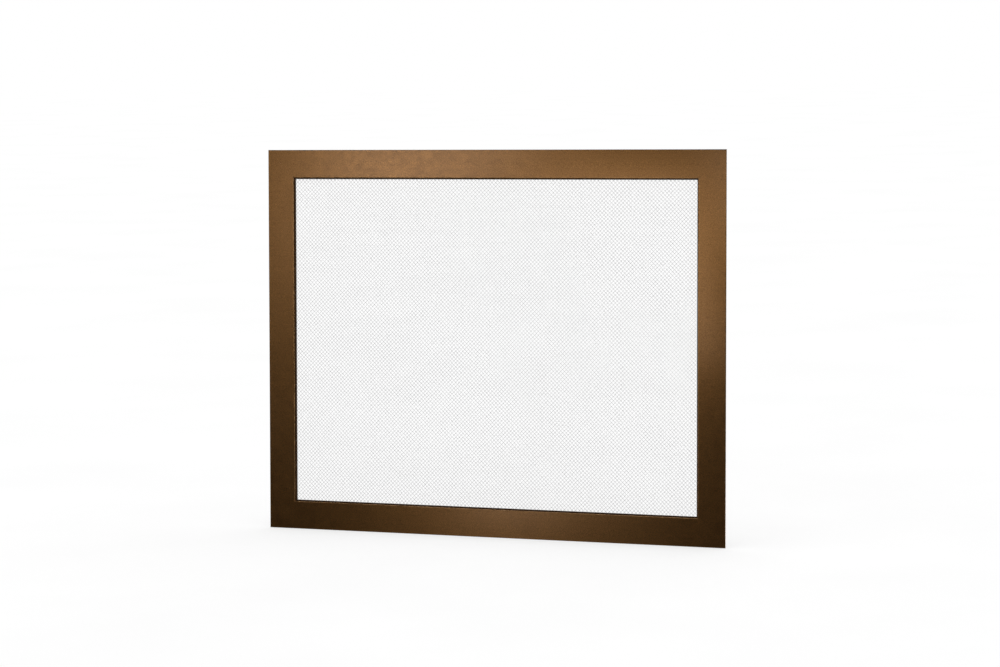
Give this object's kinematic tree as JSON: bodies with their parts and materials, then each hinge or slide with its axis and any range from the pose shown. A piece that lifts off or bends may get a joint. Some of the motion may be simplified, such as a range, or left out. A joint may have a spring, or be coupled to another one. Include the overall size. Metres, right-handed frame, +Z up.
{
  "type": "fireplace screen",
  "caption": "Flat fireplace screen: mitred bronze flat-bar frame around diagonal woven wire cloth, leaning back on rear legs that fold flat.",
  "frame": {"origin": "on the floor, under the middle of the screen's footprint with both legs out", "axes": "+X to the right as seen from the front, +Y towards the fire (back), +Z up; the front faces -Y and the panel leans back 3 degrees"},
  "size_m": [0.9906, 0.1518, 0.7864],
  "materials": {
    "bronze_frame": "satin metallic bronze, fine grain",
    "dark_seat": "dark bronze, matt",
    "wire_cloth": "bright galvanised woven wire",
    "black_hardware": "black powder coat",
    "plated_fasteners": "zinc plated",
    "black_rubber": "matt",
    "nylon_washer": "natural nylon"
  },
  "bodies": {
    "panel": {"top_rail": "bronze_frame", "right_stile": "bronze_frame", "bottom_rail": "bronze_frame", "left_stile": "bronze_frame", "top_seat_angle": "dark_seat", "right_seat_angle": "dark_seat", "bottom_seat_angle": "dark_seat", "left_seat_angle": "dark_seat", "mesh_panel": "wire_cloth", "top_retainer": "black_hardware", "right_retainer": "black_hardware", "bottom_retainer": "black_hardware", "left_retainer": "black_hardware", "top_retainer_screw_1": "plated_fasteners", "top_retainer_screw_2": "plated_fasteners", "top_retainer_screw_3": "plated_fasteners", "top_retainer_screw_4": "plated_fasteners", "top_retainer_screw_5": "plated_fasteners", "right_retainer_screw_1": "plated_fasteners", "right_retainer_screw_2": "plated_fasteners", "right_retainer_screw_3": "plated_fasteners", "bottom_retainer_screw_1": "plated_fasteners", "bottom_retainer_screw_2": "plated_fasteners", "bottom_retainer_screw_3": "plated_fasteners", "bottom_retainer_screw_4": "plated_fasteners", "bottom_retainer_screw_5": "plated_fasteners", "left_retainer_screw_1": "plated_fasteners", "left_retainer_screw_2": "plated_fasteners", "left_retainer_screw_3": "plated_fasteners", "top_left_gusset": "black_hardware", "top_right_gusset": "black_hardware", "bottom_left_gusset": "black_hardware", "bottom_right_gusset": "black_hardware", "left_leg_bracket": "black_hardware", "left_hinge_pin": "plated_fasteners", "left_pin_clip": "plated_fasteners", "left_lower_washer": "nylon_washer", "left_upper_washer": "nylon_washer", "left_bracket_stud_1": "plated_fasteners", "left_bracket_nut_1": "plated_fasteners", "left_bracket_stud_2": "plated_fasteners", "left_bracket_nut_2": "plated_fasteners", "right_leg_bracket": "black_hardware", "right_hinge_pin": "plated_fasteners", "right_pin_clip": "plated_fasteners", "right_lower_washer": "nylon_washer", "right_upper_washer": "nylon_washer", "right_bracket_stud_1": "plated_fasteners", "right_bracket_nut_1": "plated_fasteners", "right_bracket_stud_2": "plated_fasteners", "right_bracket_nut_2": "plated_fasteners"},
    "left_leg": {"left_leg": "black_hardware", "left_foot": "black_rubber"},
    "right_leg": {"right_leg": "black_hardware", "right_foot": "black_rubber"}
  },
  "joints": [
    {"name": "left_leg_fold", "type": "hinge", "parent": "panel", "child": "left_leg", "pos_m": [-0.385, -0.05752, -0.0008], "axis": [0, -0.0523, -0.9986], "range_deg": [0, 90]},
    {"name": "right_leg_fold", "type": "hinge", "parent": "panel", "child": "right_leg", "pos_m": [0.385, -0.05752, -0.0008], "axis": [0, 0.0523, 0.9986], "range_deg": [0, 90]}
  ]
}
